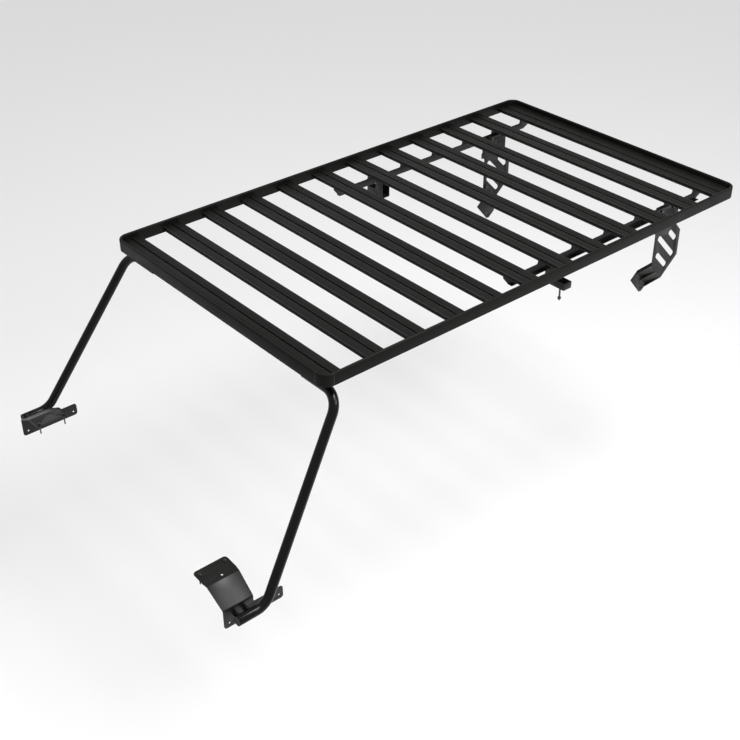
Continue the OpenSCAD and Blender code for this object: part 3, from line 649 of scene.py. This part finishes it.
class RACK_OT_slats(Operator):
    """The twelve slotted slats and the strip behind the last one"""
    bl_idname = "rack.slats"
    bl_label = "Slats"

    def execute(self, context):
        finish, edge = coats(context), context.scene.rack_sizes.profile_edge
        for k in range(1, SLAT_COUNT + 1):
            rounded_copy(f"slat_{k:02d}", edge, [finish["slat"], finish["edge"]],
                         "slat_powder_coat")
        rounded_copy("rear_filler_strip", edge, [finish["slat"], finish["edge"]],
                     "rim_powder_coat")
        return {"FINISHED"}


class RACK_OT_sheet_pieces(Operator):
    """Foot rails, rear legs, mid brackets and slat end clips, cut from sheet"""
    bl_idname = "rack.sheet_pieces"
    bl_label = "Rails, brackets and rear legs"

    def execute(self, context):
        finish, edge = coats(context), context.scene.rack_sizes.sheet_edge
        for side, _ in SIDES:
            for kind in ("foot_rail", "rear_leg", "mid_bracket", "clamp_block"):
                rounded_copy(f"{side}_{kind}", edge, [finish["plate"], finish["edge"]],
                             "plate_powder_coat")
        rounded_copy("slat_end_clips", edge, [finish["plate"], finish["edge"]],
                     "plate_powder_coat")
        return {"FINISHED"}


class RACK_OT_front_feet(Operator):
    """Folded front feet and the webs that hold the tubes off them"""
    bl_idname = "rack.front_feet"
    bl_label = "Front feet"

    def execute(self, context):
        finish, edge = coats(context), context.scene.rack_sizes.sheet_edge
        for side, _ in SIDES:
            rounded_copy(f"{side}_front_foot", edge, [finish["plate"], finish["edge"]],
                         "plate_powder_coat")
        rounded_copy("front_foot_gussets", edge, [finish["tube"], finish["edge"]],
                     "tube_powder_coat")
        return {"FINISHED"}


def leg_corners(sizes, side, sign):
    """Open upper end, upper corner, lower corner and open lower end of a leg's centreline"""
    low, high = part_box(side + "_front_leg")
    r = sizes.tube_diameter / 2
    inner = low[0] if sign > 0 else high[0]
    outer = (high[0] if sign > 0 else low[0]) - sign * r
    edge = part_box(side + "_rim")[1 if sign > 0 else 0][0] + sign * sizes.leg_stand_out
    top_y, top_z, low_z = high[1] - r, high[2] - r, low[2] + r
    return (Vector((inner, top_y, top_z)), Vector((edge, top_y, top_z)),
            Vector((outer, low[1] + sizes.foot_run, low_z)), Vector((outer, low[1], low_z)))


class RACK_OT_front_legs(Operator):
    """Long bent tube legs, drawn as one ring that is extruded and spun along the leg"""
    bl_idname = "rack.front_legs"
    bl_label = "Front legs"

    def execute(self, context):
        finish, sizes = coats(context), context.scene.rack_sizes
        for side, sign in SIDES:
            start, top, low, end = leg_corners(sizes, side, sign)
            r, bend = sizes.tube_diameter / 2, sizes.tube_bend
            first, middle, last = (top - start).normalized(), (low - top).normalized(), \
                (end - low).normalized()
            bpy.ops.mesh.primitive_circle_add(
                vertices=sizes.tube_sides, radius=r, fill_type="NOTHING", location=start,
                rotation=turned_to(first))
            leg = name_piece(context.active_object, side + "_front_leg_tube")
            apply_place(leg)
            bpy.ops.object.mode_set(mode="EDIT")
            bpy.ops.mesh.select_all(action="SELECT")
            at = start.copy()
            for corner, a, b in ((top, first, middle), (low, middle, last)):
                turn = acos(max(-1, min(1, a.dot(b))))
                back = bend * tan(turn / 2)
                self.extrude(corner - back * a - at)
                axis = a.cross(b).normalized()
                centre = corner - back * a + bend * axis.cross(a).normalized()
                self.spin(leg, centre, axis, turn, sizes.bend_steps, corner + back * b)
                at = corner + back * b
            self.extrude(end - at)
            bpy.ops.mesh.select_all(action="SELECT")
            bpy.ops.mesh.remove_doubles(threshold=0.000005)
            bpy.ops.mesh.normals_make_consistent(inside=False)
            bpy.ops.object.mode_set(mode="OBJECT")
            with_modifier(leg, "SOLIDIFY", thickness=sizes.tube_wall, offset=-1.0)
            with_modifier(leg, "BEVEL", width=0.0005, segments=2, limit_method="ANGLE",
                          angle_limit=radians(50))
            leg.data.materials.append(finish["tube"])
            smooth(leg, 35)
            settle(leg, "tube_powder_coat", side + "_front_leg")
        return {"FINISHED"}

    @staticmethod
    def extrude(step):
        bpy.ops.mesh.extrude_region_move(TRANSFORM_OT_translate={"value": step})

    @staticmethod
    def spin(leg, centre, axis, turn, steps, goal):
        """Spins the open ring so that its centre ends at the goal"""
        bpy.ops.mesh.spin(steps=steps, angle=-turn, center=centre, axis=axis)
        mesh = bmesh.from_edit_mesh(leg.data)
        ring = [v.co for v in mesh.verts if v.select]
        middle = sum(ring, Vector()) / len(ring)
        if (middle - goal).length > 0.001:
            raise RuntimeError(f"the bend ended at {middle[:]} and not at {goal[:]}")


class RACK_OT_leg_welds(Operator):
    """Weld beads where the front legs meet their foot webs, and the saddles above"""
    bl_idname = "rack.leg_welds"
    bl_label = "Leg welds"

    def execute(self, context):
        finish, sizes = coats(context), context.scene.rack_sizes
        for side, sign in SIDES:
            low = leg_corners(sizes, side, sign)[2]
            beads = []
            for box_low, box_high in loose_boxes("front_foot_gussets"):
                if (box_low[0] + box_high[0]) * sign < 0:
                    continue
                for y in (box_low[1], box_high[1]):
                    beads.append(self.bead(sizes, Vector((low[0], y, low[2])), Y, sign * X))
            finish_joined(beads, side + "_foot_weld_beads", finish["weld"], 60,
                          "tube_powder_coat")
            rounded_copy(side + "_leg_saddle", sizes.sheet_edge,
                         [finish["plate"], finish["edge"]], "tube_powder_coat")
        return {"FINISHED"}

    @staticmethod
    def bead(sizes, centre, axis, outward):
        """A ring bead round a tube, cut away on the side that meets no web"""
        bpy.ops.mesh.primitive_torus_add(
            major_segments=40, minor_segments=8, location=centre, rotation=turned_to(axis),
            major_radius=sizes.tube_diameter / 2 + 0.0004, minor_radius=sizes.weld_bead / 2)
        bead = bpy.context.active_object
        apply_place(bead)
        bpy.ops.object.mode_set(mode="EDIT")
        bpy.ops.mesh.select_all(action="SELECT")
        bpy.ops.mesh.bisect(
            plane_co=centre - outward * (sizes.tube_diameter * 0.12), plane_no=outward,
            use_fill=True, clear_outer=True)
        bpy.ops.object.mode_set(mode="OBJECT")
        return bead


class RACK_OT_leg_caps(Operator):
    """Rubber caps set in the tubes' open ends, with a shallow dish"""
    bl_idname = "rack.leg_caps"
    bl_label = "Leg caps"

    def execute(self, context):
        finish, sizes = coats(context), context.scene.rack_sizes
        caps = []
        for side, sign in SIDES:
            start, top, low, end = leg_corners(sizes, side, sign)
            for at, out in ((start, -(top - start).normalized()), (end, (end - low).normalized())):
                caps.append(self.cap(sizes, at, out))
        finish_joined(caps, "front_leg_caps_moulded", finish["rubber"], 40,
                      "black_rubber", "front_leg_caps")
        return {"FINISHED"}

    @staticmethod
    def cap(sizes, at, out):
        rim = sizes.tube_diameter / 2 - CAP_INSET
        bpy.ops.mesh.primitive_cylinder_add(
            vertices=40, radius=rim, depth=CAP_FLANGE, location=at + out * CAP_STAND_OUT,
            rotation=turned_to(out))
        cap = bpy.context.active_object
        apply_place(cap)
        bpy.ops.object.mode_set(mode="EDIT")
        select_where(cap, lambda f: f.normal.dot(out) > 0.9)
        bpy.ops.mesh.inset(thickness=0.0035, depth=0)
        bpy.ops.mesh.inset(thickness=0.0012, depth=-0.0012)
        select_where(cap, lambda f: f.normal.dot(out) < -0.9)
        bpy.ops.mesh.inset(thickness=sizes.tube_wall, depth=0)
        bpy.ops.mesh.extrude_region_move(TRANSFORM_OT_translate={"value": -out * CAP_PLUG})
        bpy.ops.object.mode_set(mode="OBJECT")
        with_modifier(cap, "BEVEL", width=0.0005, segments=2, limit_method="ANGLE",
                      angle_limit=radians(40))
        return cap


def hex_prism(across, height, at, out, chamfer=0.0007):
    """A hexagon head or nut blank with its outer face chamfered; at is under the head"""
    bpy.ops.mesh.primitive_cylinder_add(
        vertices=6, radius=across / 2 / cos(radians(30)), depth=height,
        location=at + out * height / 2, rotation=turned_to(out))
    head = bpy.context.active_object
    apply_place(head)
    bpy.ops.object.mode_set(mode="EDIT")
    select_where(head, lambda f: f.normal.dot(out) > 0.9)
    bpy.ops.mesh.inset(thickness=chamfer * 1.3, depth=0)
    bpy.ops.mesh.extrude_region_move(TRANSFORM_OT_translate={"value": (0, 0, 0)})
    bpy.ops.mesh.remove_doubles(threshold=0.0000001)
    bpy.ops.object.mode_set(mode="OBJECT")
    with_modifier(head, "BEVEL", width=chamfer, segments=2, limit_method="ANGLE",
                  angle_limit=radians(25))
    return head


def round_shank(radius, length, at, out, tip=0.0008):
    """A shank that ends in a chamfered point; it runs from at against out"""
    bpy.ops.mesh.primitive_cylinder_add(
        vertices=28, radius=radius, depth=length, location=at - out * length / 2,
        rotation=turned_to(out))
    shank = bpy.context.active_object
    apply_place(shank)
    bpy.ops.object.mode_set(mode="EDIT")
    select_where(shank, lambda f: f.normal.dot(out) < -0.9)
    bpy.ops.mesh.bevel(offset=tip, segments=2, affect="EDGES")
    bpy.ops.object.mode_set(mode="OBJECT")
    return shank


class RACK_OT_roof_studs(Operator):
    """Long threaded studs below the mid brackets, with their washers and nuts"""
    bl_idname = "rack.roof_studs"
    bl_label = "Roof studs"

    def execute(self, context):
        finish = coats(context)
        studs = []
        for low, high in loose_boxes("roof_studs"):
            centre = (low + high) / 2
            under = Vector((centre[0], centre[1], high[2] - STUD_HEAD_HEIGHT))
            studs.append(hex_prism(STUD_HEAD_ACROSS, STUD_HEAD_HEIGHT, under, Z))
            studs.append(round_shank(STUD_RADIUS, under[2] - low[2], under, Z))
        finish_joined(studs, "roof_studs_threaded", finish["thread"], 35,
                      "black_zinc_steel", "roof_studs")
        rounded_copy("stud_nuts", EDGE_NUT, [finish["zinc"]], "black_zinc_steel")
        rounded_copy("stud_washers", EDGE_WASHER, [finish["zinc"]], "black_zinc_steel")
        return {"FINISHED"}


class RACK_OT_pad_bolts(Operator):
    """Hexagon bolts that stand in the pads of the front feet"""
    bl_idname = "rack.pad_bolts"
    bl_label = "Foot pad bolts"

    def execute(self, context):
        finish = coats(context)
        rounded_copy("front_foot_bolts", EDGE_BOLT, [finish["thread"]], "black_zinc_steel")
        rounded_copy("front_foot_washers", EDGE_WASHER, [finish["zinc"]], "black_zinc_steel")
        return {"FINISHED"}


class RACK_OT_small_fasteners(Operator):
    """Bolts, nuts, washers and rivets under the tray"""
    bl_idname = "rack.small_fasteners"
    bl_label = "Small fasteners"

    def execute(self, context):
        finish = coats(context)
        for node in ("slat_end_bolts", "filler_rivets", "rail_t_bolts", "rail_washers",
                     "rail_nuts", "saddle_t_bolts", "saddle_nuts", "mid_bracket_bolts",
                     "mid_bracket_nuts", "rear_leg_bolts", "rear_leg_nuts"):
            rounded_copy(node, EDGE_SMALL, [finish["zinc"]], "black_zinc_steel")
        return {"FINISHED"}


# ---------------------------------------------------------------- stage

def aim(obj, place, forward, up):
    forward, up = Vector(forward).normalized(), Vector(up).normalized()
    right = forward.cross(up).normalized()
    up = right.cross(forward)
    rotation = Matrix((right, up, -forward)).transposed().to_4x4()
    obj.matrix_world = Matrix.Translation(place) @ rotation


class RACK_OT_stage(Operator):
    """Pale floor, white surroundings, two soft lights and the camera"""
    bl_idname = "rack.stage"
    bl_label = "Stage"

    def execute(self, context):
        studio, tint = context.scene.rack_studio, context.scene.rack_colours
        low, high = (Vector(corner) for corner in FRAME_BOX)
        centre = (low + high) / 2
        clear_selection()
        bpy.ops.mesh.primitive_plane_add(
            size=60, location=(centre[0], centre[1], low[2] - studio.floor_drop))
        floor = name_piece(context.active_object, "studio_floor")
        apply_place(floor)
        floor.data.materials.append(self.floor_paint(tint.floor))
        world = bpy.data.worlds.new("white surroundings")
        context.scene.world = world
        world.use_nodes = True
        sky = world.node_tree.nodes["Background"]
        sky.inputs["Color"].default_value = (1, 1, 1, 1)
        sky.inputs["Strength"].default_value = studio.sky
        context.scene.view_settings.view_transform = "Standard"
        self.area_light("key light", centre + Vector(studio.key_place), centre,
                        studio.key_size, studio.key_power)
        self.area_light("fill light", centre + Vector(studio.fill_place), centre,
                        studio.fill_size, studio.fill_power)
        camera = bpy.data.objects.new("camera", bpy.data.cameras.new("camera"))
        context.collection.objects.link(camera)
        camera.data.sensor_width = 36
        camera.data.lens = studio.lens
        camera.data.clip_end = 100
        aim(camera, Vector(studio.camera_place), studio.camera_aim, studio.camera_up)
        context.scene.camera = camera
        return {"FINISHED"}

    @staticmethod
    def floor_paint(colour):
        material, tree, shader, where = start_material("matte studio floor")
        cloud = add(tree, "ShaderNodeTexNoise")
        cloud.inputs["Scale"].default_value = 0.4
        tree.links.new(where, cloud.inputs["Vector"])
        base = mixed_colour(tree, cloud.outputs["Fac"], scaled(colour, 0.99), scaled(colour, 1.01))
        tree.links.new(base, shader.inputs["Base Color"])
        shader.inputs["Roughness"].default_value = 0.9
        shader.inputs["Specular IOR Level"].default_value = 0.1
        return material

    @staticmethod
    def area_light(name, place, target, size, power):
        data = bpy.data.lights.new(name, "AREA")
        data.shape, data.size, data.energy = "DISK", size, power
        lamp = bpy.data.objects.new(name, data)
        bpy.context.collection.objects.link(lamp)
        aim(lamp, place, target - place, Z)


class RACK_PT_panel(Panel):
    """Sizes, colours and steps of the roof rack"""
    bl_label = "Roof Rack"
    bl_idname = "RACK_PT_panel"
    bl_space_type = "VIEW_3D"
    bl_region_type = "UI"
    bl_category = "Roof Rack"

    def draw(self, context):
        column = self.layout.column()
        for group in ("rack_sizes", "rack_colours", "rack_studio"):
            settings = getattr(context.scene, group)
            box = column.box()
            for name in settings.bl_rna.properties.keys():
                if name not in ("rna_type", "name"):
                    box.prop(settings, name)
        for step in STEPS:
            column.operator(step.bl_idname)


STEPS = (
    RACK_OT_tray_rims, RACK_OT_slats, RACK_OT_sheet_pieces, RACK_OT_front_feet,
    RACK_OT_front_legs, RACK_OT_leg_welds, RACK_OT_leg_caps, RACK_OT_roof_studs,
    RACK_OT_pad_bolts, RACK_OT_small_fasteners, RACK_OT_stage,
)
SETTINGS = {"rack_sizes": RackSizes, "rack_colours": RackColours, "rack_studio": StudioSettings}


def register():
    for kind in (*SETTINGS.values(), *STEPS, RACK_PT_panel):
        bpy.utils.register_class(kind)
    for name, kind in SETTINGS.items():
        setattr(bpy.types.Scene, name, PointerProperty(type=kind))


def unregister():
    for name in SETTINGS:
        delattr(bpy.types.Scene, name)
    for kind in reversed((*SETTINGS.values(), *STEPS, RACK_PT_panel)):
        bpy.utils.unregister_class(kind)


def main():
    register()
    for step in STEPS:
        section, name = step.bl_idname.split(".")
        getattr(getattr(bpy.ops, section), name)()


if __name__ == "__main__":
    main()
